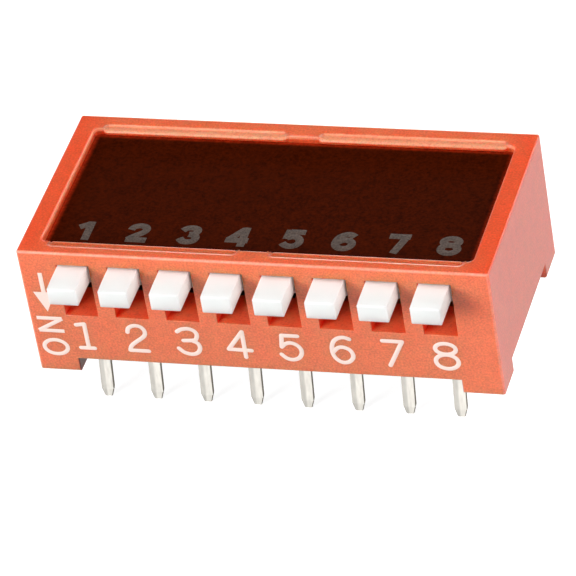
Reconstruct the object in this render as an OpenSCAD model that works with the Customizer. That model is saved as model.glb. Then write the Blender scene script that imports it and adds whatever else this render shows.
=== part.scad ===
// Side-operated (piano) DIP switch: a moulded box with one lever per pole.
// +X runs along the row of levers, -Y is the side the levers stick out of, +Z is up.
// The origin is the centre of the pin grid on the board surface, where the feet stand.

/* [Poles] */
// Number of poles, each with its own lever
poles = 8; // [2:1:10]
// Distance between neighbouring poles
pitch = 2.54; // [2.4:0.01:3]

/* [Housing] */
// From the centre of the last pole to the end face
end_reach = 2.71; // [2.5:0.01:4]
// Depth from the lever face to the back face
housing_d = 11; // [10.6:0.1:13]
// Height of the rim above the board
rim_z = 7.2; // [7.1:0.05:9]
// Air gap under the walls, which is the height of the feet
standoff = 0.75; // [0.5:0.05:0.8]
// Thickness of the outer walls and width of the rim
wall = 0.97; // [0.8:0.01:1.1]
// Radius of the upright outer edges
corner_r = 0.12; // [0.05:0.01:0.5]
// Length of a foot along the row
foot_l = 2.07; // [1.2:0.01:2.2]
// Depth of the two front feet
foot_front_d = 1.87; // [1.2:0.01:2]
// Depth of the two back feet
foot_back_d = 1.99; // [1.2:0.01:2]
// Height of the floor's underside above the board
floor_z = 1.25; // [1.15:0.05:1.4]
// Thickness of the floor
floor_t = 0.8; // [0.6:0.05:0.85]
// Thickness of the walls between poles
partition = 0.4; // [0.36:0.01:0.45]
// Depth of the blocks that hold the terminals, measured from inside the outer wall
block_d = 1.23; // [1.1:0.01:1.5]

/* [Cover plate] */
// How far the plate lies below the rim
plate_drop = 0.4; // [0.35:0.05:0.5]
// Thickness of the plate
plate_t = 0.5; // [0.4:0.05:0.55]
// Corner radius of the plate
plate_r = 0.3; // [0.1:0.05:1]

/* [Swaged rim] */
// Width of each pressed groove
swage_w = 0.52; // [0.4:0.01:0.6]
// Depth of each pressed groove
swage_depth = 0.14; // [0.12:0.01:0.2]
// How far the groove's walls lean in, down to the crest of the lip
swage_lean = 0.08; // [0.04:0.01:0.1]
// How far the pressed lip bulges over the plate
swage_lip = 0.15; // [0.05:0.01:0.25]
// How far the crest of the lip lies below the rim
swage_crest = 0.1; // [0.06:0.01:0.11]
// Width of the crest, from the face of the lip to the pit of the groove
swage_bead = 0.2; // [0.16:0.01:0.24]
// From the end of the recess to the nearest groove
swage_end = 0.4; // [0.2:0.05:2]
// Gap between the two grooves of one side
swage_gap = 1.55; // [0.5:0.05:4]

/* [Windows] */
// Width of a lever window
window_w = 1.64; // [1.6:0.01:1.8]
// Height of the window sill above the board
sill_z = 3.45; // [3.4:0.01:3.7]
// Height of the window
window_h = 3.04; // [2.8:0.01:3.1]

/* [Levers] */
// Width of the finger tab
finger_w = 1.46; // [1.3:0.01:1.5]
// Thickness of the finger tab
finger_h = 0.95; // [0.7:0.01:1.05]
// How far the finger tab stands out of the lever face
finger_reach = 1.8; // [1:0.05:3]
// Radius of the finger tab's edges
finger_r = 0.08; // [0.03:0.01:0.2]
// Angle that a lever swings through from off to on
throw_deg = 23; // [15:1:24]
// Distance of the pivot behind the lever face
pivot_back = 4.5; // [4:0.05:5]
// Height of the pivot above the board
pivot_z = 5.2; // [5.1:0.01:5.3]
// Radius of the lever's hub
hub_r = 0.9; // [0.7:0.01:0.95]
// Radius of the trunnions that the lever turns on
trunnion_r = 0.5; // [0.35:0.01:0.55]
// How far a trunnion reaches into the wall beside it
trunnion_reach = 0.17; // [0.1:0.01:0.17]
// How far the guide rib stands out of each side of the lever
guide_rib = 0.06; // [0.02:0.01:0.07]
// Width of the leg that carries the wiper
leg_w = 0.84; // [0.6:0.01:0.9]
// Clearance under the wiper where it swings over the floor
floor_gap = 0.08; // [0.04:0.01:0.2]

/* [Wipers] */
// Thickness of the wiper strip
wiper_t = 0.12; // [0.08:0.01:0.15]
// Width of the wiper strip
wiper_w = 0.7; // [0.5:0.05:0.8]
// Height of the wiper's two cheeks
wiper_h = 0.95; // [0.8:0.05:1.1]
// Distance from the pivot to the contact domes
dome_reach = 2.5; // [2.4:0.01:2.6]
// Radius of the contact domes
dome_r = 0.3; // [0.24:0.01:0.34]

/* [Terminals] */
// Distance between the two rows of pins at the board
row_spacing = 7.62; // [7.5:0.01:8]
// Thickness of the terminal strip
strip_t = 0.25; // [0.2:0.01:0.28]
// Inside radius of the fold between a terminal's foot and its blade
fold_r = 0.05; // [0.03:0.01:0.06]
// Width of a pin
pin_w = 0.6; // [0.4:0.01:0.8]
// How far the pins reach below the board surface
pin_drop = 2.45; // [1.5:0.05:4]
// Outward splay of each pin, as sideways run for each unit of length
pin_splay = 0.2; // [0:0.01:0.25]
// Length of the pin's pointed end
tip_l = 0.42; // [0.2:0.01:0.8]
// Width and thickness left at the very end of the pin, as a share
tip_share = 0.6; // [0.4:0.05:0.9]
// Height of the contact blade's top edge above the board
blade_top_z = 3.1; // [3.05:0.01:3.2]
// Sideways distance of the blade's edge from the dome of a lever that is off
break_gap = 0.3; // [0.2:0.01:0.35]
// Thickness of the sealing resin under the floor
resin_t = 0.4; // [0.3:0.05:0.45]

/* [Fits] */
// Running clearance around the levers and their trunnions
run = 0.04; // [0.03:0.01:0.05]
// Clearance around parts that drop or press into place
slip = 0.02; // [0.01:0.01:0.03]

/* [Hidden] */
$fn = 48;
EPS = 0.01;

half_l = (poles - 1) * pitch / 2 + end_reach;
half_d = housing_d / 2;
front_y = -half_d;
in_l = half_l - wall;
in_d = half_d - wall;
plate_z = rim_z - plate_drop;
deck_z = plate_z - plate_t;
floor_top = floor_z + floor_t;
cell_half = (pitch - partition) / 2;
window_top = sill_z + window_h;
swage_l = in_l - swage_end - swage_gap / 2;
pit_r = (swage_w - slip - swage_lean - swage_bead) / 2;

pivot_y = front_y + pivot_back;
finger_z = window_top - run - finger_h;
tip_y = front_y - finger_reach;
lean = throw_deg / 2;
hold_z = pivot_z + trunnion_r + run;
slot_half = trunnion_r + run;
trunnion_half = cell_half + trunnion_reach;
sweep_r = pivot_z - floor_top - floor_gap;
leg_reach = sqrt(pow(sweep_r, 2) - pow(wiper_w / 2, 2)) - wiper_t;
slot_end = (poles - 1) * pitch / 2 + trunnion_half + run;

blade_out = cell_half - slip;
blade_in = blade_out - strip_t;
block_y = in_d - block_d;
bend_z = floor_z - resin_t;
plate_y = row_spacing / 2 - pin_splay * bend_z;
dome_off_y = pivot_y - dome_reach * sin(lean);
blade_end = dome_off_y + dome_r + break_gap;
dome_x = blade_in - run - dome_r;

function pole_x(i) = (i - (poles + 1) / 2) * pitch;

// Rectangle with true round corners, centred
module round_rect(l, d, r) {
    square([l - 2 * r, d], center = true);
    square([l, d - 2 * r], center = true);
    for (x = [-1, 1], y = [-1, 1])
        translate([x * (l / 2 - r), y * (d / 2 - r)]) circle(r);
}

// Upright block from z0 to z1 on a centred rectangle with round corners
module round_block(half_x, half_y, r, z0, z1) {
    translate([0, 0, z0]) linear_extrude(z1 - z0) round_rect(2 * half_x, 2 * half_y, r);
}

// Block between two corners
module span(low, high) {
    translate(low) cube(high - low);
}

// A profile drawn in Y and Z, given a width along X that is centred on x = 0
module side_profile(width) {
    translate([-width / 2, 0, 0]) rotate([90, 0, 90]) linear_extrude(width) children();
}

// Cylinder along X, centred on x = 0
module rod(r, length) {
    rotate([0, 90, 0]) cylinder(r = r, h = length, center = true);
}

// ---- Housing: glass-filled polyester moulding, one piece with its floor and feet

// The four feet, from the board up to z_top
module feet(z_top) {
    for (side = [-1, 1]) {
        span([side * half_l - (side > 0 ? foot_l : 0), front_y, 0],
            [side * half_l + (side > 0 ? 0 : foot_l), front_y + foot_front_d, z_top]);
        span([side * half_l - (side > 0 ? foot_l : 0), half_d - foot_back_d, 0],
            [side * half_l + (side > 0 ? 0 : foot_l), half_d, z_top]);
    }
}

// Room for one pole: floor between the two terminal blocks, open up to the plate
module cell() {
    span([-cell_half, -block_y, floor_top], [cell_half, block_y, deck_z + EPS]);
    span([-cell_half, -in_d, sill_z], [cell_half, in_d, deck_z + EPS]);
}

// Window in the lever face, with its sill level with the top of the block behind
module window() {
    span([-window_w / 2, front_y - EPS, sill_z], [window_w / 2, EPS - in_d, window_top]);
}

// Channel across the walls between poles, in which the trunnions lie
module trunnion_channel() {
    translate([0, pivot_y, pivot_z]) rod(slot_half, 2 * slot_end);
    span([-slot_end, pivot_y - slot_half, pivot_z], [slot_end, pivot_y + slot_half, deck_z + EPS]);
}

// The four pressed bars with round ends, two along each long side of the recess. The child is the
// right half of their section, with Z along Y, and shift moves the bars away from the recess
module swages(shift = 0) {
    end_x = (swage_l - swage_w) / 2;
    for (x = [-1, 1], y = [-1, 1])
        translate([x * (swage_gap + swage_l) / 2, y * (in_d - swage_lip + swage_w / 2 + shift), 0]) {
            for (side = [-1, 1])
                translate([side * end_x, 0, 0]) rotate_extrude($fn = 24) children();
            side_profile(2 * end_x) {
                children();
                mirror([1, 0]) children();
            }
        }
}

// Half of the lip's section: displaced wall that bulges over the plate with a round face
module lip_section() {
    lip_h = rim_z - swage_crest - plate_z;
    bead_r = min(0.45 * lip_h, swage_w / 3);
    centre_x = swage_w / 2 - bead_r;
    translate([0, plate_z]) intersection() {
        union() {
            square([centre_x, lip_h]);
            translate([0, bead_r]) square([swage_w / 2, lip_h - 2 * bead_r]);
            for (y = [bead_r, lip_h - bead_r]) translate([centre_x, y]) circle(bead_r, $fn = 16);
        }
        square([swage_w / 2, lip_h]);
    }
}

// Half of the section that the press clears above the crest of the lip
module press_section() {
    crest_z = rim_z - swage_crest;
    polygon([[0, crest_z], [swage_w / 2 - swage_lean, crest_z], [swage_w / 2, rim_z], [0, rim_z]]);
}

// Half of the section of the pit behind the crest
module pit_section() {
    translate([0, rim_z - swage_depth]) square([pit_r, swage_depth - swage_crest + EPS]);
}

// Slots in the floor and blocks that a front terminal is pushed into from below, past the feet
module terminal_slot() {
    z_top = blade_top_z + slip;
    span([-cell_half, -plate_y - strip_t / 2 - slip, -EPS],
        [pin_w / 2 + slip, -plate_y + strip_t / 2 + slip, z_top]);
    span([-cell_half, -plate_y - strip_t / 2 - slip, -EPS],
        [-blade_in + slip, slip - blade_end, z_top]);
}

module housing() {
    color([0.90, 0.36, 0.22])
    difference() {
        union() {
            difference() {
                round_block(half_l, half_d, corner_r, standoff, rim_z);
                round_block(in_l, in_d, plate_r, deck_z, rim_z + EPS);
                round_block(in_l, in_d, plate_r, standoff - EPS, floor_z);
            }
            intersection() {
                feet(floor_z);
                round_block(half_l, half_d, corner_r, 0, floor_z);
            }
            swages() lip_section();
        }
        swages() press_section();
        swages(swage_w / 2 - slip - swage_lean - pit_r) pit_section();
        trunnion_channel();
        for (i = [1 : poles]) translate([pole_x(i), 0, 0]) {
            cell();
            window();
            terminal_slot();
            rotate(180) terminal_slot();
        }
    }
}

// ---- Cover plate: dark moulded plate with lugs that hold the trunnions down

module cover_plate() {
    lug_half = partition / 2 - slip;
    color([0.20, 0.05, 0.03]) {
        round_block(in_l - slip, in_d - slip, plate_r - slip, deck_z, plate_z);
        for (i = [0 : poles]) translate([pole_x(i) + pitch / 2, 0, 0])
            span([i == 0 ? 0 : -lug_half, pivot_y - trunnion_r, hold_z],
                [i == poles ? 0 : lug_half, pivot_y + trunnion_r, deck_z + EPS]);
    }
}

// ---- Sealing resin: poured under the floor around the terminals

module sealing_resin() {
    color([0.16, 0.14, 0.13])
    difference() {
        round_block(in_l, in_d, plate_r, bend_z, floor_z);
        feet(floor_z + EPS);
        for (i = [1 : poles], side = [-1, 1])
            translate([pole_x(i), side * plate_y, 0])
                span([-pin_w / 2, -strip_t / 2, 0], [pin_w / 2, strip_t / 2, floor_z + EPS]);
    }
}

// ---- Lever: white moulding that turns on two trunnions

// Side outline of finger, arm and hub, drawn with the lever off
module lever_outline() {
    arm_top = deck_z - 2 * run;
    shoulder_y = -in_d - slip;
    translate([tip_y + finger_r, finger_z + finger_r]) circle(finger_r);
    translate([tip_y + finger_r, finger_z + finger_h - finger_r]) circle(finger_r);
    translate([tip_y, finger_z + finger_r]) square([finger_r, finger_h - 2 * finger_r]);
    polygon([
        [tip_y + finger_r, finger_z],
        [tip_y + finger_r, finger_z + finger_h],
        [shoulder_y - 2 * finger_r, finger_z + finger_h],
        [shoulder_y, arm_top],
        [pivot_y, pivot_z + hub_r],
        [pivot_y, pivot_z - hub_r],
        [front_y + wall / 2, finger_z]
    ]);
    translate([pivot_y, pivot_z]) circle(hub_r);
}

// Guide rib that centres the finger in its window
module guide_ribs() {
    span([-finger_w / 2 - guide_rib, front_y + slip, finger_z],
        [finger_w / 2 + guide_rib, -in_d, finger_z + finger_h / 4]);
}

// Leg below the hub, leaning forward while the lever is off
module leg() {
    side_profile(leg_w) polygon([
        [-hub_r * 0.8, 0],
        [-wiper_w / 2, wiper_h - leg_reach],
        [-wiper_w / 2, -leg_reach],
        [wiper_w / 2, -leg_reach],
        [wiper_w / 2, wiper_h - leg_reach],
        [hub_r * 0.8, 0]
    ]);
}

// Places its children on the pivot, leaning as the leg does while the lever is off
module at_leg() {
    translate([0, pivot_y, pivot_z]) rotate([-lean, 0, 0]) children();
}

module lever(i) {
    color([0.97, 0.96, 0.95])
    translate([pole_x(i), 0, 0]) {
        side_profile(finger_w) lever_outline();
        guide_ribs();
        translate([0, pivot_y, pivot_z]) rod(trunnion_r, 2 * trunnion_half);
        at_leg() leg();
    }
}

// ---- Wiper: gilt spring clip on the leg, with a contact dome on each cheek

// The strip folded round the end of the leg, seen along the lever
module clip_outline() {
    half = leg_w / 2;
    difference() {
        union() {
            translate([-half - wiper_t, -leg_reach]) square([2 * (half + wiper_t), wiper_h]);
            translate([-half, -leg_reach - wiper_t]) square([2 * half, wiper_t]);
            for (side = [-1, 1]) translate([side * half, -leg_reach]) circle(wiper_t);
        }
        translate([-half, -leg_reach]) square([2 * half, 2 * wiper_h]);
    }
}

module wiper(i) {
    half = leg_w / 2;
    color([0.83, 0.66, 0.33])
    translate([pole_x(i), 0, 0]) at_leg() {
        rotate([90, 0, 0]) linear_extrude(wiper_w, center = true) clip_outline();
        for (side = [-1, 1])
            difference() {
                translate([side * dome_x, 0, -dome_reach]) sphere(dome_r);
                span([-half - EPS, -dome_r * 2, -dome_reach - dome_r * 2],
                    [half + EPS, dome_r * 2, dome_r * 2 - dome_reach]);
            }
    }
}

// ---- Terminal: one stamping, used in both rows, with a pin, a foot and a contact blade

// Side outline of the splayed pin, from the foot down to its point
module pin_outline() {
    drop = bend_z + pin_drop;
    out_y = -plate_y - pin_splay * drop;
    taper_y = -plate_y - pin_splay * (drop - tip_l);
    taper_z = tip_l - pin_drop;
    half = strip_t / 2;
    end_half = half * tip_share;
    polygon([
        [-plate_y - half, floor_z],
        [-plate_y + half, floor_z],
        [-plate_y + half, bend_z],
        [taper_y + half, taper_z],
        [out_y + end_half, -pin_drop],
        [out_y - end_half, -pin_drop],
        [taper_y - half, taper_z],
        [-plate_y - half, bend_z]
    ]);
}

// Front outline of the pin with its pointed end, as a block to cut the pin from
module pin_width() {
    half = pin_w / 2;
    end_half = half * tip_share;
    translate([0, EPS, 0]) rotate([90, 0, 0]) linear_extrude(2 * housing_d)
        polygon([
            [-half, floor_z + EPS],
            [half, floor_z + EPS],
            [half, tip_l - pin_drop],
            [end_half, -pin_drop - EPS],
            [-end_half, -pin_drop - EPS],
            [-half, tip_l - pin_drop]
        ]);
}

// Foot, fold and contact blade, seen from above
module blade_outline() {
    foot_y = -plate_y - strip_t / 2;
    outer_r = fold_r + strip_t;
    translate([outer_r - blade_out, foot_y])
        square([pin_w / 2 + blade_out - outer_r, strip_t]);
    translate([-blade_out, foot_y + outer_r])
        square([strip_t, -blade_end - foot_y - outer_r]);
    translate([outer_r - blade_out, foot_y + outer_r]) difference() {
        circle(outer_r);
        circle(fold_r);
        translate([0, -2 * outer_r]) square(4 * outer_r);
        translate([-2 * outer_r, 0]) square(4 * outer_r);
    }
}

module terminal() {
    intersection() {
        side_profile(pin_w) pin_outline();
        pin_width();
    }
    translate([0, 0, floor_z]) linear_extrude(blade_top_z - floor_z) blade_outline();
}

module front_terminal(i) {
    color([0.80, 0.80, 0.78]) translate([pole_x(i), 0, 0]) terminal();
}

module back_terminal(i) {
    color([0.80, 0.80, 0.78]) translate([pole_x(i), 0, 0]) rotate(180) terminal();
}

housing();
cover_plate();
sealing_resin();
for (i = [1 : poles]) {
    lever(i);
    wiper(i);
    front_terminal(i);
    back_terminal(i);
}
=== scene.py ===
"""A side-operated (piano) DIP switch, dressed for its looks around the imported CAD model.

Metres throughout, in the CAD frame: +X along the row of levers, -Y out of the lever face and +Z up,
with the circuit board's surface at z = 0.
"""

import math

import bmesh
import bpy
from mathutils import Matrix, Vector, geometry


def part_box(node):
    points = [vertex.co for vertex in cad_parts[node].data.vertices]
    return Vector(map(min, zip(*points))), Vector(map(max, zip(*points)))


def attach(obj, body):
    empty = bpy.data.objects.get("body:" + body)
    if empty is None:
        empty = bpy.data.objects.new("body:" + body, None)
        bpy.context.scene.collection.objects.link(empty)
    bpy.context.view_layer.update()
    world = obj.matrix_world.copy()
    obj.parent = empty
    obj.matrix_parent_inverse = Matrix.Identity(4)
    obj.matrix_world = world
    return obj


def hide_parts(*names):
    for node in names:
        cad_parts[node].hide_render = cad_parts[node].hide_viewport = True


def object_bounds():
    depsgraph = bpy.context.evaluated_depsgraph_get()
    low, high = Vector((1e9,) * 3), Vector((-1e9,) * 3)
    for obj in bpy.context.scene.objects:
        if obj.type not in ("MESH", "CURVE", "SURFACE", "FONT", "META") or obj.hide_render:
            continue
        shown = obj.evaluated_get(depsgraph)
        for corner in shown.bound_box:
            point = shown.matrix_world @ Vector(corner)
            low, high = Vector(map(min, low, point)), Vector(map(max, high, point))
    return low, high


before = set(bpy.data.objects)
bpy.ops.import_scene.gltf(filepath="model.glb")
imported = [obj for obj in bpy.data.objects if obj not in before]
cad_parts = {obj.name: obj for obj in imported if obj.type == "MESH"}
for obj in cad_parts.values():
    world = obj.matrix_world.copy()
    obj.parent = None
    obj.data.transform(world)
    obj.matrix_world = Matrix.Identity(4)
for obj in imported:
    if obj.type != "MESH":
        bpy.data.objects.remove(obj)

cad_box = [list(corner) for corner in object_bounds()]

# ---- Camera: a long lens above and to the right of the lever face, leaning over by ten degrees,
# so that the row of levers climbs to the left.
MM = 0.001
CAMERA_AT = Vector((65.88, -171.30, 140.30)) * MM
CAMERA_AIM = Vector((-0.583, 0.532, 0.934)) * MM
CAMERA_LEAN = math.radians(-10.157)
CAMERA_LENS = 297.15
CAMERA_NEAR = 10 * MM

camera_data = bpy.data.cameras.new("camera")
camera_data.lens = CAMERA_LENS
camera_data.clip_start = CAMERA_NEAR
camera = bpy.data.objects.new("camera", camera_data)
bpy.context.scene.collection.objects.link(camera)
aim = (CAMERA_AIM - CAMERA_AT).to_track_quat("-Z", "Y").to_matrix().to_4x4()
camera.matrix_world = Matrix.Translation(CAMERA_AT) @ aim @ Matrix.Rotation(CAMERA_LEAN, 4, "Z")
bpy.context.scene.camera = camera


# ---- Studio: white paper under and round the part, a dark ceiling, and five soft lamps. The key lamp
# stands at the front left and the fill high on the right. A weak lamp hangs overhead, and two more
# stand behind, where they draw the edges.
LAMP_DISTANCE = 0.6
# Each lamp: direction from the part, width, and the light that it throws on a white sheet facing it
LAMPS = {
    "key": ((-0.58, -0.73, 0.34), 0.30, 0.98),
    "overhead": ((-0.28, -0.46, 0.84), 0.14, 0.15),
    "fill": ((0.70, 0.00, 0.71), 0.34, 0.79),
    "rim": ((0.59, 0.74, 0.27), 0.16, 0.34),
    "back": ((-0.28, 0.94, 0.12), 0.08, 0.09),
}
WHITE = (1, 1, 1, 1)
# Heights on the unit sphere round the part: the paper ends at the first, the dark starts at the second
PAPER_TOP = 0.16
DARK_FROM = 0.46
DARK_ROOM = 0.03
# The paper is seen at its full white, but lights the part with this share of it
PAPER_LIGHT = 0.3
FLOOR_SIZE = 4
FLOOR_GLOW = 0.9
FLOOR_SHADE = 0.42
FLOOR_BOUNCE = 0.3


def add_lamp(name, direction, width, strength):
    """A square soft box that faces the part and that the camera doesn't see"""
    data = bpy.data.lights.new(name, "AREA")
    data.size = width
    data.energy = strength * (math.pi * LAMP_DISTANCE) ** 2
    lamp = bpy.data.objects.new(name, data)
    place = Vector(direction).normalized() * LAMP_DISTANCE
    lamp.matrix_world = Matrix.Translation(place) @ place.to_track_quat("Z", "Y").to_matrix().to_4x4()
    lamp.visible_camera = False
    bpy.context.scene.collection.objects.link(lamp)


def add_node(owner, kind, inputs=None, **settings):
    """One node of a material or world, with its settings and with values or links at its inputs.
    A MapRange takes its value at input 0, the range at 1 and 2, and what that becomes at 3 and 4"""
    node = owner.node_tree.nodes.new("ShaderNode" + kind)
    for setting, value in settings.items():
        setattr(node, setting, value)
    for socket, value in (inputs or {}).items():
        if isinstance(value, bpy.types.NodeSocket):
            owner.node_tree.links.new(value, node.inputs[socket])
        else:
            node.inputs[socket].default_value = value
    return node


def seen_or_mirrored(owner):
    """1 for what is seen directly, in a reflection or through the part, and 0 for all other light"""
    path = add_node(owner, "LightPath")
    seen = path.outputs["Is Camera Ray"]
    for way in ("Is Glossy Ray", "Is Transmission Ray"):
        seen = add_node(owner, "Math", {0: seen, 1: path.outputs[way]}, operation="MAXIMUM").outputs[0]
    return seen


def new_material(name):
    """A material with an empty node tree"""
    material = bpy.data.materials.new(name)
    material.use_nodes = True
    material.node_tree.nodes.clear()
    return material


for lamp_name, lamp_values in LAMPS.items():
    add_lamp(lamp_name, *lamp_values)

world = bpy.data.worlds.new("studio")
bpy.context.scene.world = world
world.use_nodes = True
world.node_tree.nodes.clear()
sky = add_node(world, "TexCoord")
height = add_node(world, "SeparateXYZ", {0: sky.outputs["Generated"]})
shade = add_node(world, "MapRange", {
    0: height.outputs["Z"], 1: PAPER_TOP, 2: DARK_FROM, 3: 1.0, 4: DARK_ROOM},
    interpolation_type="SMOOTHSTEP")
share = add_node(world, "MapRange", {0: seen_or_mirrored(world), 1: 0.0, 2: 1.0, 3: PAPER_LIGHT, 4: 1.0})
strength = add_node(world, "Math", {0: shade.outputs[0], 1: share.outputs[0]}, operation="MULTIPLY")
light = add_node(world, "Background", {"Color": WHITE, "Strength": strength.outputs[0]})
add_node(world, "OutputWorld", {0: light.outputs[0]})

# The floor: seen or mirrored it is glowing white paper that still takes a faint shadow, and to all
# other light it is dull paper.
paper = new_material("white_paper")
glow = add_node(paper, "Emission", {"Color": WHITE, "Strength": FLOOR_GLOW})
shadow = add_node(paper, "BsdfDiffuse", {"Color": (FLOOR_SHADE, FLOOR_SHADE, FLOOR_SHADE, 1)})
white = add_node(paper, "AddShader", {0: glow.outputs[0], 1: shadow.outputs[0]})
bounce = add_node(paper, "BsdfDiffuse", {"Color": (FLOOR_BOUNCE, FLOOR_BOUNCE, FLOOR_BOUNCE, 1)})
mix = add_node(paper, "MixShader", {
    0: seen_or_mirrored(paper), 1: bounce.outputs[0], 2: white.outputs[0]})
add_node(paper, "OutputMaterial", {"Surface": mix.outputs[0]})

floor_mesh = bmesh.new()
bmesh.ops.create_grid(floor_mesh, x_segments=1, y_segments=1, size=FLOOR_SIZE / 2)
bmesh.ops.translate(floor_mesh, verts=floor_mesh.verts, vec=(0, 0, cad_box[0][2]))
floor_data = bpy.data.meshes.new("floor")
floor_mesh.to_mesh(floor_data)
floor_mesh.free()
floor_data.materials.append(paper)
floor = bpy.data.objects.new("floor", floor_data)
bpy.context.scene.collection.objects.link(floor)

bpy.context.scene.view_settings.view_transform = "Standard"


# ---- Housing: one moulding in glass-filled polyester, with its floor, feet, lever windows and rim.
# The mould leaves a small round on every edge. The four bars in the rim are swaged over the cover
# plate with a heated tool, so that their edges are softer still.
HOUSING_COLOUR = "#FF7E54"
HOUSING_DRIFT = 0.2
# Painted bounce light: the deeper red of the window walls and sills
WINDOW_BOUNCE_COLOUR = "#FF7048"
# Painted shade: the deeper red of the rim and the recess walls
RIM_SHADE_COLOUR = "#E45930"
# Painted sheen: the paler rim beside the swaged bars
BAR_SHEEN_COLOUR = "#DF6C44"
# Painted highlight: the paler band in the back bars and round the recess
GROOVE_HIGHLIGHT_COLOUR = "#FF9874"
# Painted shade: the darker red of the short side walls
END_SHADE_COLOUR = "#CF460C"
# Painted sheen: the paler long side walls
SHEEN_SKIN_COLOUR = "#EE7A4E"
# Painted highlight: the paler outer edges
EDGE_HIGHLIGHT_COLOUR = "#FF9A80"
# Painted shade: the dark underside and inner sides of the feet
UNDER_SHADE_COLOUR = "#70200F"

EDGE_ROUND = 0.09 * MM
RIM_ROUND = 0.11 * MM
WINDOW_ROUND = 0.02 * MM
# Edges sharper than this are rounded, and faces narrower than this belong to rounds
SHARP = math.radians(35)
WIDE_FACE = 0.12 * MM
# Points nearer than this are one, and faces that meet at less than this are one
WELD = 1e-7
FLAT = math.radians(1)

# The glass fibres are 0.01 mm thick, too fine to show, so their mottling is drawn ten times coarser.
# The melt's flow gives wider clouds.
FIBRE_GRAIN = 0.1 * MM
CLOUD_GRAIN = 0.5 * MM
CLOUD_SHARE = 0.3
NOISE_LOW = 0.4
NOISE_HIGH = 0.9
# How far red, green and blue light get into the plastic, in millimetres
RED_REACH = (1.3, 0.10, 0.06)

housing_low, housing_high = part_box("housing")
plate_low, plate_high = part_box("cover_plate")
# What lies within TOUCH of a level is on it, and within CORNER of the outer faces it is on the skin
TOUCH = 0.002 * MM
CORNER = 0.125 * MM
HOUSING_WALL = 0.97 * MM
WINDOW_LOW = 3.4 * MM
BARS_FROM_Y = 4.35 * MM
BARS_TO_X = 10.2 * MM
FEET_FROM_X = 9.53 * MM
STANDOFF = 0.75 * MM


def linear(code):
    """An sRGB hex colour as the linear values that the shader takes"""
    channels = [int(code[i:i + 2], 16) / 255 for i in (1, 3, 5)]
    return [c / 12.92 if c <= 0.04045 else ((c + 0.055) / 1.055) ** 2.4 for c in channels] + [1.0]


def mottled_plastic(name, colour, depth, grain, roughness, ior, bump,
                    tints=(), specular=0.5, milky=0.0):
    """A moulded plastic: its colour drifts by the share depth, and the mould has pitted it finely.
    tints are further colours, each with the mask that says where it lies. A milky plastic lets light
    a little way in, and red light furthest, so that it glows round its shadows and edges"""
    material = new_material(name)
    place = add_node(material, "TexCoord").outputs["Object"]
    fine = add_node(material, "TexNoise", {"Vector": place, "Scale": 1 / grain, "Detail": 2.0})
    cloud = add_node(material, "TexNoise", {"Vector": place, "Scale": 1 / CLOUD_GRAIN, "Detail": 1.0})
    both = add_node(material, "Math", {
        0: cloud.outputs[0], 1: CLOUD_SHARE, 2: fine.outputs[0]}, operation="MULTIPLY_ADD")
    value = add_node(material, "MapRange", {
        0: both.outputs[0], 1: NOISE_LOW, 2: NOISE_HIGH, 3: 1 - depth, 4: 1 + depth})
    base = linear(colour)
    for tint_colour, mask in tints:
        base = add_node(material, "Mix", {
            0: mask(material, place), 6: base, 7: linear(tint_colour)}, data_type="RGBA").outputs[2]
    tint = add_node(material, "HueSaturation", {"Color": base, "Value": value.outputs[0]})
    pits = add_node(material, "Bump", {"Height": fine.outputs[0], "Distance": bump, "Strength": 1.0})
    plastic = add_node(material, "BsdfPrincipled", {
        "Base Color": tint.outputs[0], "Roughness": roughness, "IOR": ior,
        "Specular IOR Level": specular, "Normal": pits.outputs[0],
        "Subsurface Weight": milky, "Subsurface Radius": RED_REACH, "Subsurface Scale": 1.0 * MM})
    add_node(material, "OutputMaterial", {"Surface": plastic.outputs[0]})
    return material


def beyond(material, place, axis, near, far, full=1.0):
    """A mask that is 0 nearer than near to the middle along one axis, and rises to full at far.
    With far less than near it falls outwards, and full may be another mask, which it then narrows"""
    part = add_node(material, "SeparateXYZ", {0: place})
    away = add_node(material, "Math", {0: part.outputs[axis]}, operation="ABSOLUTE")
    return add_node(material, "MapRange", {
        0: away.outputs[0], 1: near, 2: far, 3: 0.0, 4: full},
        interpolation_type="SMOOTHSTEP").outputs[0]


def painted_window_bounce(material, place):
    """The walls and sill of the windows, behind the skin, painted a deeper red: painted bounce light,
    for the red light that plays inside them
    """
    between = beyond(material, place, "X", housing_high.x - EDGE_ROUND, housing_high.x - 3 * EDGE_ROUND)
    return beyond(material, place, "Y", housing_high.y - 0.02 * MM, housing_high.y - 0.15 * MM, between)


def painted_top_shade(material, place):
    """The rim and the walls of the recess, painted a deeper red: painted shade, for the weaker light and
    sheen that they get
    """
    return beyond(material, place, "Z", plate_low.z, plate_high.z)


def painted_bar_sheen(material, place):
    """The rim beside the swaged bars, painted paler: a painted sheen for the light that the bars'
    grooves reflect
    """
    side = beyond(material, place, "Y", BARS_FROM_Y - 1.0 * MM, BARS_FROM_Y)
    end = beyond(material, place, "X", BARS_TO_X + 1.2 * MM, BARS_TO_X - 0.6 * MM, side)
    return beyond(material, place, "Z", housing_high.z - 0.3 * MM, housing_high.z - 0.15 * MM, end)


def painted_groove_highlight(material, place):
    """A painted highlight: a paler band just below the top of the rim, in the back bars and round the
    recess, but not in front
    """
    below = beyond(material, place, "Z", housing_high.z - 0.03 * MM, housing_high.z - 0.07 * MM)
    band = beyond(material, place, "Z", housing_high.z - 0.25 * MM, housing_high.z - 0.17 * MM, below)
    part = add_node(material, "SeparateXYZ", {0: place})
    return add_node(material, "MapRange", {
        0: part.outputs["Y"], 1: -BARS_FROM_Y, 2: 0.8 * -BARS_FROM_Y, 3: 0.0, 4: band}).outputs[0]


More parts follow.
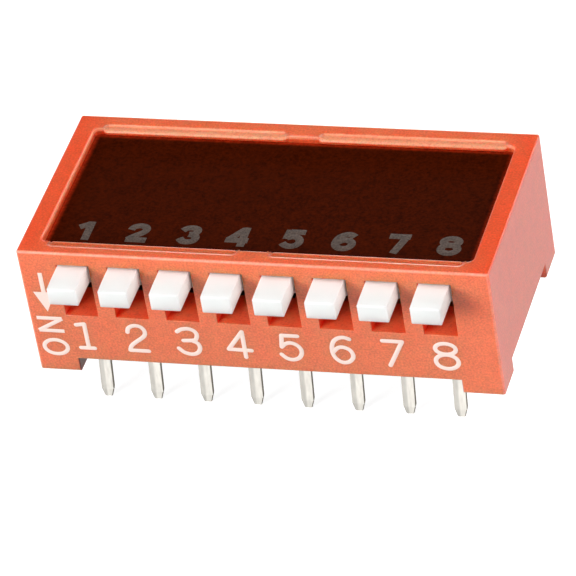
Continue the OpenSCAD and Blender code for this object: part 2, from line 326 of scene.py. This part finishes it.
def painted_end_shade(material, place):
    """The two short side walls, painted a darker red: painted shade, which holds them down under the
    strong fill lamp
    """
    return beyond(material, place, "X", housing_high.x - EDGE_ROUND, housing_high.x - EDGE_ROUND / 3)


def painted_side_sheen(material, place):
    """The two long side walls, painted paler: a painted sheen for the key lamp's glare on them"""
    return beyond(material, place, "Y", housing_high.y - EDGE_ROUND, housing_high.y - EDGE_ROUND / 3)


def painted_edge_highlight(material, place):
    """The upright outer edges and the long upper ones, with a painted highlight along them"""
    end, top = [beyond(material, place, axis, far - 0.14 * MM, far - 0.06 * MM)
                for axis, far in (("X", housing_high.x), ("Z", housing_high.z))]
    either = add_node(material, "Math", {0: end, 1: top}, operation="MAXIMUM").outputs[0]
    return beyond(material, place, "Y", housing_high.y - 0.14 * MM, housing_high.y - 0.06 * MM, either)


def painted_under_shade(material, place):
    """The underside of the body and the inner sides of the feet, painted dark: painted shade"""
    between = beyond(material, place, "X", FEET_FROM_X + 0.06 * MM, FEET_FROM_X + 0.02 * MM)
    return beyond(material, place, "Z", STANDOFF + 0.02 * MM, STANDOFF, between)


def whole_copy(node):
    """A CAD node's mesh with its points merged and its flat faces in one piece"""
    mesh = bmesh.new()
    mesh.from_mesh(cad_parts[node].data)
    bmesh.ops.remove_doubles(mesh, verts=mesh.verts, dist=WELD)
    bmesh.ops.dissolve_limit(mesh, angle_limit=FLAT, verts=mesh.verts, edges=mesh.edges)
    return mesh


def round_edges(mesh, radius, segments, wanted):
    """Rounds the sharp edges whose lowest and highest corners are wanted"""
    chosen = []
    for edge in mesh.edges:
        ends = [end.co for end in edge.verts]
        low, high = (Vector(map(pick, *ends)) for pick in (min, max))
        if edge.calc_face_angle(0) > SHARP and wanted(low, high):
            chosen.append(edge)
    bmesh.ops.bevel(mesh, geom=chosen, offset=radius, offset_type="OFFSET", affect="EDGES",
                    segments=segments, profile=0.5, material=-1, clamp_overlap=False)


def on_skin(low, high):
    """Whether an edge lies on the outer side walls or along their borders"""
    return all(max(abs(end.x) - housing_high.x, abs(end.y) - housing_high.y) > -CORNER
               for end in (low, high))


def on_window(low, high):
    """Whether an edge lies round a lever window"""
    inside = max(abs(low.x), abs(high.x)) < housing_high.x - HOUSING_WALL
    return on_skin(low, high) and inside and WINDOW_LOW < low.z and high.z < plate_high.z


def on_border(low, high):
    """Whether an edge lies along the outer side walls, but round no window"""
    return on_skin(low, high) and not on_window(low, high)


def on_rim(low, high):
    """Whether an edge lies in the top of the rim, round the recess and the swaged bars"""
    return low.z > housing_high.z - TOUCH and not on_skin(low, high)


def new_piece(name, mesh, materials, body, nodes=()):
    """Makes a finished mesh a piece that rides on its body and stands for its nodes.
    Its narrow faces, which belong to rounds, are shaded smooth, and its wide ones flat"""
    for face in mesh.faces:
        face.smooth = 2 * face.calc_area() / face.calc_perimeter() < WIDE_FACE
    for edge in mesh.edges:
        edge.smooth = edge.calc_face_angle(0) < SHARP
    data = bpy.data.meshes.new(name)
    mesh.to_mesh(data)
    mesh.free()
    for material in materials:
        data.materials.append(material)
    piece = bpy.data.objects.new(name, data)
    bpy.context.scene.collection.objects.link(piece)
    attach(piece, body)
    if nodes:
        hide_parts(*nodes)


# Glass-filled polyester, moulded: satin, a little uneven in colour, and redder where light has been
# through it. Later tints lie over earlier ones.
# The tints paint light and shade: bounce light in the windows, shade on the rim, the ends and the
# underside, sheen on the long sides and by the bars, and highlights in the grooves and along the edges.
housing_plastic = mottled_plastic(
    "glass_filled_polyester", HOUSING_COLOUR, HOUSING_DRIFT, FIBRE_GRAIN, roughness=0.28, ior=1.55,
    bump=0.008 * MM, specular=0.38, milky=0.9,
    tints=[
        (WINDOW_BOUNCE_COLOUR, painted_window_bounce),
        (RIM_SHADE_COLOUR, painted_top_shade),
        (BAR_SHEEN_COLOUR, painted_bar_sheen),
        (GROOVE_HIGHLIGHT_COLOUR, painted_groove_highlight),
        (END_SHADE_COLOUR, painted_end_shade),
        (SHEEN_SKIN_COLOUR, painted_side_sheen),
        (EDGE_HIGHLIGHT_COLOUR, painted_edge_highlight),
        (UNDER_SHADE_COLOUR, painted_under_shade),
    ])

mesh = whole_copy("housing")
round_edges(mesh, WINDOW_ROUND, 2, on_window)
round_edges(mesh, EDGE_ROUND, 3, on_border)
round_edges(mesh, RIM_ROUND, 4, on_rim)
new_piece("moulded_housing", mesh, [housing_plastic], "case", ["housing"])


# ---- Cover plate: a thin dark moulding that drops into the recess of the housing and is held there
# by the swaged bars.
COVER_COLOUR = "#3A0E01"
COVER_DRIFT = 0.45
COVER_GRAIN = 0.14 * MM
# Painted glow: the red light from the housing along the plate's edges
PAINTED_EDGE_GLOW = "#9C2A10"
COVER_GLOW = 0.34 * MM
COVER_ROUND = 0.03 * MM


def painted_glow_sides(material, place):
    """The plate's long edges, where a red glow from the housing is painted in"""
    return beyond(material, place, "Y", plate_high.y - COVER_GLOW, plate_high.y)


def painted_glow_ends(material, place):
    """The plate's short edges, where the same painted glow lies"""
    return beyond(material, place, "X", plate_high.x - COVER_GLOW, plate_high.x)


def on_plate_top(low, high):
    """Whether an edge lies round the top of the plate"""
    return low.z > plate_high.z - TOUCH


# Dark tinted thermoplastic, moulded: satin and nearly black, with hardly a reflection, and a painted red
# glow along its edges.
cover_plastic = mottled_plastic(
    "dark_satin_cover", COVER_COLOUR, COVER_DRIFT, COVER_GRAIN, roughness=0.3, ior=1.4,
    bump=0.002 * MM, specular=0.03, tints=[(PAINTED_EDGE_GLOW, painted_glow_sides), (PAINTED_EDGE_GLOW, painted_glow_ends)])
mesh = whole_copy("cover_plate")
round_edges(mesh, COVER_ROUND, 2, on_plate_top)
new_piece("dark_cover", mesh, [cover_plastic], "case", ["cover_plate"])


# ---- Sealing resin: epoxy poured round the terminals under the floor, where it sets hard. It is
# dark and smooth, with the slow waves of a poured surface.
RESIN_COLOUR = "#2A2422"
RESIN_DRIFT = 0.1
RESIN_WAVE = 0.5 * MM


def dress(name, material):
    """Gives its material to a CAD node that is shown as it is"""
    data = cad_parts[name].data
    data.materials.clear()
    data.materials.append(material)


resin = mottled_plastic("poured_epoxy", RESIN_COLOUR, RESIN_DRIFT, RESIN_WAVE,
                        roughness=0.25, ior=1.5, bump=0.01 * MM)
dress("sealing_resin", resin)


# ---- Levers: white nylon rockers, one for each pole, moulded with their trunnions and snapped in
# between the partitions of the housing. The finger outside the window has softly rounded edges.
LEVER_COLOUR = "#EBF1EF"
LEVER_GRAIN = 0.3 * MM
LEVER_REACH = (1.0, 1.0, 1.0)
LEVER_ROUND = 0.05 * MM
LEVER_SEEN = 0.5 * MM


def on_finger(low, high):
    """Whether an edge lies on the part of a lever that is seen"""
    return high.y < housing_low.y + LEVER_SEEN


# White nylon, moulded: matt and milky, so that light spreads in it and softens its edges.
nylon = new_material("white_nylon")
place = add_node(nylon, "TexCoord").outputs["Object"]
grain = add_node(nylon, "TexNoise", {"Vector": place, "Scale": 1 / LEVER_GRAIN, "Detail": 2.0})
pits = add_node(nylon, "Bump", {"Height": grain.outputs[0], "Distance": 0.004 * MM, "Strength": 0.5})
milk = add_node(nylon, "BsdfPrincipled", {
    "Base Color": linear(LEVER_COLOUR), "Roughness": 0.5, "IOR": 1.53, "Specular IOR Level": 0.1,
    "Normal": pits.outputs[0],
    "Subsurface Weight": 1.0, "Subsurface Radius": LEVER_REACH, "Subsurface Scale": 1.0 * MM})
add_node(nylon, "OutputMaterial", {"Surface": milk.outputs[0]})

rockers = sorted(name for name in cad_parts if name.startswith("lever_"))
for name in rockers:
    number = name.removeprefix("lever_")
    mesh = whole_copy(name)
    round_edges(mesh, LEVER_ROUND, 2, on_finger)
    new_piece("white_lever_" + number, mesh, [nylon], "rocker_" + number, [name])


# ---- Wipers: spring clips stamped from bronze strip, gilt where they wipe, and clipped to the legs
# of the levers. The gilding is smooth and warm, with a soft reflection.
GILT_COLOUR = "#D9B36A"

gilt = new_material("gilt_spring_strip")
gilding = add_node(gilt, "BsdfPrincipled", {
    "Base Color": linear(GILT_COLOUR), "Metallic": 1.0, "Roughness": 0.3})
add_node(gilt, "OutputMaterial", {"Surface": gilding.outputs[0]})
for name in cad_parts:
    if name.startswith("wiper_"):
        dress(name, gilt)


# ---- Terminals: stamped from brass strip that was plated with tin first, so that their faces are
# bright and their sheared sides are bare. They are pushed up through the floor of the housing.
POLES = len(rockers)
PITCH_IN_MM = 2.54
PITCH = PITCH_IN_MM * MM
TIN_COLOUR = "#D8D5CD"
# Partly painted shade: the sheared sides are darker than bare brass
SHEARED_SHADE_COLOUR = "#6B6558"
# The shear has rolled over the left edge of each pin, and there a darker band is painted in: a painted
# reflection of the darker room
ROLLED_REFLECTION_SHADE = 0.72
ROLLED_FROM = -0.09 * MM
ROLLED_TO = -0.01 * MM
# Rolling leaves streaks along the strip, 0.01 mm wide, which are drawn coarser so that they show
STREAK_WIDTH = 0.12 * MM
STREAK_STRETCH = 0.12
STREAKS_LOW = 0.3
STREAKS_HIGH = 0.7
TIN_SHADES = (0.88, 1.05)
TIN_ROUGHNESS = (0.28, 0.45)
PIN_ROUND = 0.06 * MM
# A face that points this much along X is a sheared side
SIDEWAYS = 0.8


def on_pin(low, high):
    """Whether an edge lies on the pin below the body"""
    return high.z < STANDOFF


# Matt tin plate, rolled: pale grey with a hint of yellow, streaked along the strip, with a painted
# darker reflection along each pin's left edge.
tin = new_material("matte_tin_plate")
place = add_node(tin, "TexCoord").outputs["Object"]
across = add_node(tin, "SeparateXYZ", {0: place})
across = add_node(tin, "Math", {0: across.outputs["X"], 1: PITCH / 2}, operation="ADD")
across = add_node(tin, "Math", {0: across.outputs[0], 1: PITCH / 2, 2: -PITCH / 2}, operation="WRAP")
rolled = add_node(tin, "MapRange", {
    0: across.outputs[0], 1: ROLLED_FROM, 2: ROLLED_TO, 3: ROLLED_REFLECTION_SHADE, 4: 1.0})
drawn = add_node(tin, "Mapping", {"Vector": place, "Scale": (1, 1, STREAK_STRETCH)})
streaks = add_node(tin, "TexNoise", {
    "Vector": drawn.outputs[0], "Scale": 1 / STREAK_WIDTH, "Detail": 3.0})
streaky = add_node(tin, "MapRange", {
    0: streaks.outputs[0], 1: STREAKS_LOW, 2: STREAKS_HIGH, 3: TIN_SHADES[0], 4: TIN_SHADES[1]})
value = add_node(tin, "Math", {0: rolled.outputs[0], 1: streaky.outputs[0]}, operation="MULTIPLY")
tint = add_node(tin, "HueSaturation", {"Color": linear(TIN_COLOUR), "Value": value.outputs[0]})
rough = add_node(tin, "MapRange", {
    0: streaks.outputs[0], 1: STREAKS_LOW, 2: STREAKS_HIGH, 3: TIN_ROUGHNESS[0], 4: TIN_ROUGHNESS[1]})
pits = add_node(tin, "Bump", {"Height": streaks.outputs[0], "Distance": 0.006 * MM, "Strength": 0.6})
plating = add_node(tin, "BsdfPrincipled", {
    "Base Color": tint.outputs[0], "Metallic": 1.0, "Roughness": rough.outputs[0],
    "Normal": pits.outputs[0]})
add_node(tin, "OutputMaterial", {"Surface": plating.outputs[0]})

# Bare brass, sheared and torn, and dark: partly its tarnish and partly painted shade for the dark room
# that these sides mirror, so that it has no clear reflection.
sheared = new_material("sheared_brass_edge")
bare = add_node(sheared, "BsdfPrincipled", {
    "Base Color": linear(SHEARED_SHADE_COLOUR), "Metallic": 1.0, "Roughness": 0.55})
add_node(sheared, "OutputMaterial", {"Surface": bare.outputs[0]})

for name in sorted(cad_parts):
    if "_terminal_" not in name:
        continue
    row, _, number = name.split("_")
    mesh = whole_copy(name)
    mesh.normal_update()
    for face in mesh.faces:
        if abs(face.normal.x) > SIDEWAYS:
            face.material_index = 1
    round_edges(mesh, PIN_ROUND, 3, on_pin)
    new_piece(row + "_pin_" + number, mesh, [tin, sheared], "case", [name])


# ---- Prints: pad-printed ink, white on the lever face and grey on the cover plate. Each mark is a
# row of pen strokes, laid as a thin flat bead.
INK_HEIGHT = 0.015 * MM
# The angles, in radians, at which the round end of a stroke is drawn
ROUND_END = (0.5, 0.95, 1.3, 1.5)


def straight(*corners):
    """Pen strokes from corner to corner"""
    return [(False, [Vector(start), Vector(end)]) for start, end in zip(corners, corners[1:])]


def curved(*points, steps=6):
    """One smooth pen stroke through the points"""
    points = [Vector(point).to_3d() for point in points]
    ends = [points[0]] + points + [points[-1]]
    line = []
    for before, start, end, after in zip(ends, ends[1:], ends[2:], ends[3:]):
        line += geometry.interpolate_bezier(
            start, start + (end - before) / 6, end - (after - start) / 6, end, steps)[:-1]
    return [(False, [point.to_2d() for point in line + [points[-1]]])]


def ring(x, y, half_w, half_h, sides=40):
    """One closed oval stroke"""
    turns = [2 * math.pi * i / sides for i in range(sides)]
    return [(True, [Vector((x + half_w * math.cos(t), y + half_h * math.sin(t))) for t in turns])]


def shifted(strokes, x, y):
    """The strokes moved in millimetres and turned to metres"""
    return [(closed, [(point + Vector((x, y))) * MM for point in line]) for closed, line in strokes]


def ink_mesh(strokes, width, round_ends):
    """The strokes as flat beads of ink on the XY plane, in metres, closed at their ends"""
    curve = bpy.data.curves.new("strokes", "CURVE")
    curve.dimensions = "3D"
    curve.bevel_depth = width / 2
    curve.bevel_resolution = 2
    for closed, line in strokes:
        points = [(point, 1.0) for point in line]
        if round_ends and not closed:
            for far, near in ((0, 1), (-1, -2)):
                out = (line[far] - line[near]).normalized() * width / 2
                tail = [(line[far] + out * math.sin(a), math.cos(a)) for a in ROUND_END]
                points = tail[::-1] + points if far == 0 else points + tail
        spline = curve.splines.new("POLY")
        spline.use_cyclic_u = closed
        spline.points.add(len(points) - 1)
        for dot, (place, radius) in zip(spline.points, points):
            dot.co = (*place, 0, 1)
            dot.radius = radius
    holder = bpy.data.objects.new("strokes", curve)
    data = bpy.data.meshes.new_from_object(holder)
    bpy.data.objects.remove(holder)
    bpy.data.curves.remove(curve)
    mesh = bmesh.new()
    mesh.from_mesh(data)
    bpy.data.meshes.remove(data)
    bmesh.ops.holes_fill(mesh, edges=mesh.edges, sides=0)
    bmesh.ops.recalc_face_normals(mesh, faces=mesh.faces)
    bmesh.ops.scale(mesh, verts=mesh.verts, vec=(1, 1, 2 * INK_HEIGHT / width))
    return mesh


# The lever face: numerals with their feet on one line, and at its left end the arrow and the word,
# which lies on its side. All strokes are in millimetres.
FRONT_PEN = 0.22
LEGEND_PEN = 0.21
FRONT_FOOT_Z = 1.46
FRONT_DIGITS = [
    straight((-0.42, 1.42), (0, 1.49), (0, 0.02)) + straight((-0.40, 0.02), (0.30, 0.02)),
    curved((-0.40, 1.14), (-0.33, 1.37), (-0.13, 1.52), (0.10, 1.56), (0.32, 1.49), (0.46, 1.30),
           (0.47, 1.09), (0.38, 0.92), (0.20, 0.76), (-0.12, 0.51), (-0.33, 0.30), (-0.43, 0.06))
    + straight((-0.43, 0.03), (0.50, 0.03)),
    curved((-0.42, 1.34), (-0.20, 1.49), (0.12, 1.55), (0.40, 1.47), (0.55, 1.26), (0.50, 0.99),
           (0.35, 0.86), (-0.17, 0.81))
    + curved((0.30, 0.81), (0.52, 0.69), (0.60, 0.44), (0.50, 0.17), (0.28, 0.02), (0.05, 0.00),
             (-0.25, 0.10), (-0.48, 0.32)),
    straight((0.30, 0.00), (0.30, 1.54), (-0.50, 0.44), (0.63, 0.42)),
    straight((0.50, 1.46), (-0.28, 1.46), (-0.36, 0.76))
    + curved((-0.34, 0.78), (-0.15, 0.96), (0.12, 1.03), (0.40, 0.92), (0.57, 0.69), (0.58, 0.42),
             (0.42, 0.14), (0.12, 0.01), (-0.18, 0.07), (-0.43, 0.30)),
    curved((0.52, 1.45), (0.25, 1.54), (-0.05, 1.47), (-0.28, 1.26), (-0.40, 0.94), (-0.41, 0.59),
           (-0.32, 0.29), (-0.12, 0.08), (0.10, 0.01), (0.35, 0.08), (0.55, 0.30), (0.58, 0.54),
           (0.45, 0.81), (0.15, 0.94), (-0.12, 0.88), (-0.36, 0.64)),
    straight((-0.40, 1.47), (0.56, 1.47), (-0.18, 0.00)),
    ring(0.10, 1.18, 0.50, 0.32) + ring(0.10, 0.41, 0.55, 0.42),
]
LEGEND = (
    straight((-11.25, 3.20), (-9.97, 3.20), (-11.25, 2.44), (-9.97, 2.44))
    + ring(-10.57, 1.445, 0.59, 0.43)
)
ARROW_SHAFT = ((-10.61, 5.96), (-10.61, 4.70))
ARROW_HEAD = ((-11.14, 4.79), (-10.06, 4.79), (-10.60, 3.62))
INK_WHITE = "#FFE4DA"
INK_DRIFT = 0.03

# White pad ink: matt and even, and so thin that it takes a little of the red beneath it.
white_ink = mottled_plastic("white_pad_ink", INK_WHITE, INK_DRIFT, FIBRE_GRAIN,
                            roughness=0.5, ior=1.45, bump=0.001 * MM)
to_front = Matrix.Translation((0, housing_low.y, 0)) @ Matrix.Rotation(math.radians(90), 4, "X")
strokes = []
for index, digit in enumerate(FRONT_DIGITS):
    strokes += shifted(digit, (index - (POLES - 1) / 2) * PITCH_IN_MM, FRONT_FOOT_Z)
mesh = ink_mesh(strokes, FRONT_PEN * MM, round_ends=True)
mesh.transform(to_front)
new_piece("lever_numbers", mesh, [white_ink], "case")

mesh = ink_mesh(shifted(LEGEND, 0, 0), LEGEND_PEN * MM, round_ends=False)
shaft = ink_mesh(shifted(straight(*ARROW_SHAFT), 0, 0), FRONT_PEN * MM, round_ends=False)
head = mesh.faces.new([mesh.verts.new((x * MM, y * MM, -INK_HEIGHT)) for x, y in ARROW_HEAD])
raised = bmesh.ops.extrude_face_region(mesh, geom=[head])["geom"]
raised = [corner for corner in raised if isinstance(corner, bmesh.types.BMVert)]
bmesh.ops.translate(mesh, verts=raised, vec=(0, 0, 2 * INK_HEIGHT))
shaft_data = bpy.data.meshes.new("shaft")
shaft.to_mesh(shaft_data)
shaft.free()
mesh.from_mesh(shaft_data)
bpy.data.meshes.remove(shaft_data)
bmesh.ops.recalc_face_normals(mesh, faces=mesh.faces)
mesh.transform(to_front)
new_piece("on_legend", mesh, [white_ink], "case")

# The cover plate: bolder numerals, on a line that is turned a little, as the print was
PLATE_PEN = 0.39
PLATE_DIGITS = [
    straight((0.075, 1.43), (0.075, 0.00)) + straight((0.03, 1.27), (-0.43, 0.98)),
    curved((-0.38, 0.93), (-0.28, 1.16), (0.00, 1.27), (0.27, 1.20), (0.38, 1.00), (0.26, 0.76),
           (0.00, 0.55), (-0.25, 0.33), (-0.36, 0.20))
    + straight((-0.46, 0.19), (0.56, 0.19)),
    curved((-0.38, 1.05), (-0.20, 1.23), (0.05, 1.28), (0.30, 1.20), (0.36, 1.02), (0.25, 0.85),
           (0.00, 0.78))
    + curved((0.00, 0.78), (0.30, 0.70), (0.385, 0.50), (0.30, 0.28), (0.05, 0.20), (-0.20, 0.24),
             (-0.40, 0.45)),
    straight((0.16, 1.47), (0.16, 0.00)) + straight((0.10, 1.35), (-0.50, 0.54))
    + straight((-0.68, 0.48), (0.44, 0.48)),
    straight((0.54, 1.30), (-0.20, 1.30)) + straight((-0.25, 1.44), (-0.29, 0.74))
    + curved((-0.27, 0.84), (0.00, 0.93), (0.25, 0.87), (0.40, 0.60), (0.28, 0.30), (0.00, 0.20),
             (-0.25, 0.27), (-0.42, 0.42)),
    curved((0.44, 1.12), (0.20, 1.27), (-0.05, 1.25), (-0.30, 1.05), (-0.40, 0.75), (-0.38, 0.45),
           (-0.20, 0.25), (0.02, 0.20), (0.25, 0.26), (0.40, 0.48), (0.35, 0.72), (0.10, 0.85),
           (-0.15, 0.78), (-0.35, 0.60)),
    straight((-0.47, 1.29), (0.57, 1.29)) + straight((0.37, 1.30), (-0.03, 0.00)),
    ring(0.02, 1.05, 0.37, 0.25) + ring(0.02, 0.50, 0.40, 0.31),
]
PLATE_PITCH = 2.556
PLATE_FIRST = (-8.78, -3.875)
PLATE_TURN = math.radians(0.52)
INK_GREY = "#4E413A"
WORN_DRIFT = 0.6

# Grey pad ink: matt and worn, so that the dark plate shows through it in spots.
grey_ink = mottled_plastic("grey_pad_ink", INK_GREY, WORN_DRIFT, FIBRE_GRAIN,
                           roughness=0.6, ior=1.45, bump=0.001 * MM)
along = Vector((math.cos(PLATE_TURN), math.sin(PLATE_TURN))) * PLATE_PITCH
strokes = []
for index, digit in enumerate(PLATE_DIGITS):
    spot = Vector(PLATE_FIRST) + along * index
    strokes += shifted(digit, spot.x, spot.y)
mesh = ink_mesh(strokes, PLATE_PEN * MM, round_ends=False)
bmesh.ops.translate(mesh, verts=mesh.verts, vec=(0, 0, plate_high.z))
new_piece("plate_numbers", mesh, [grey_ink], "case")
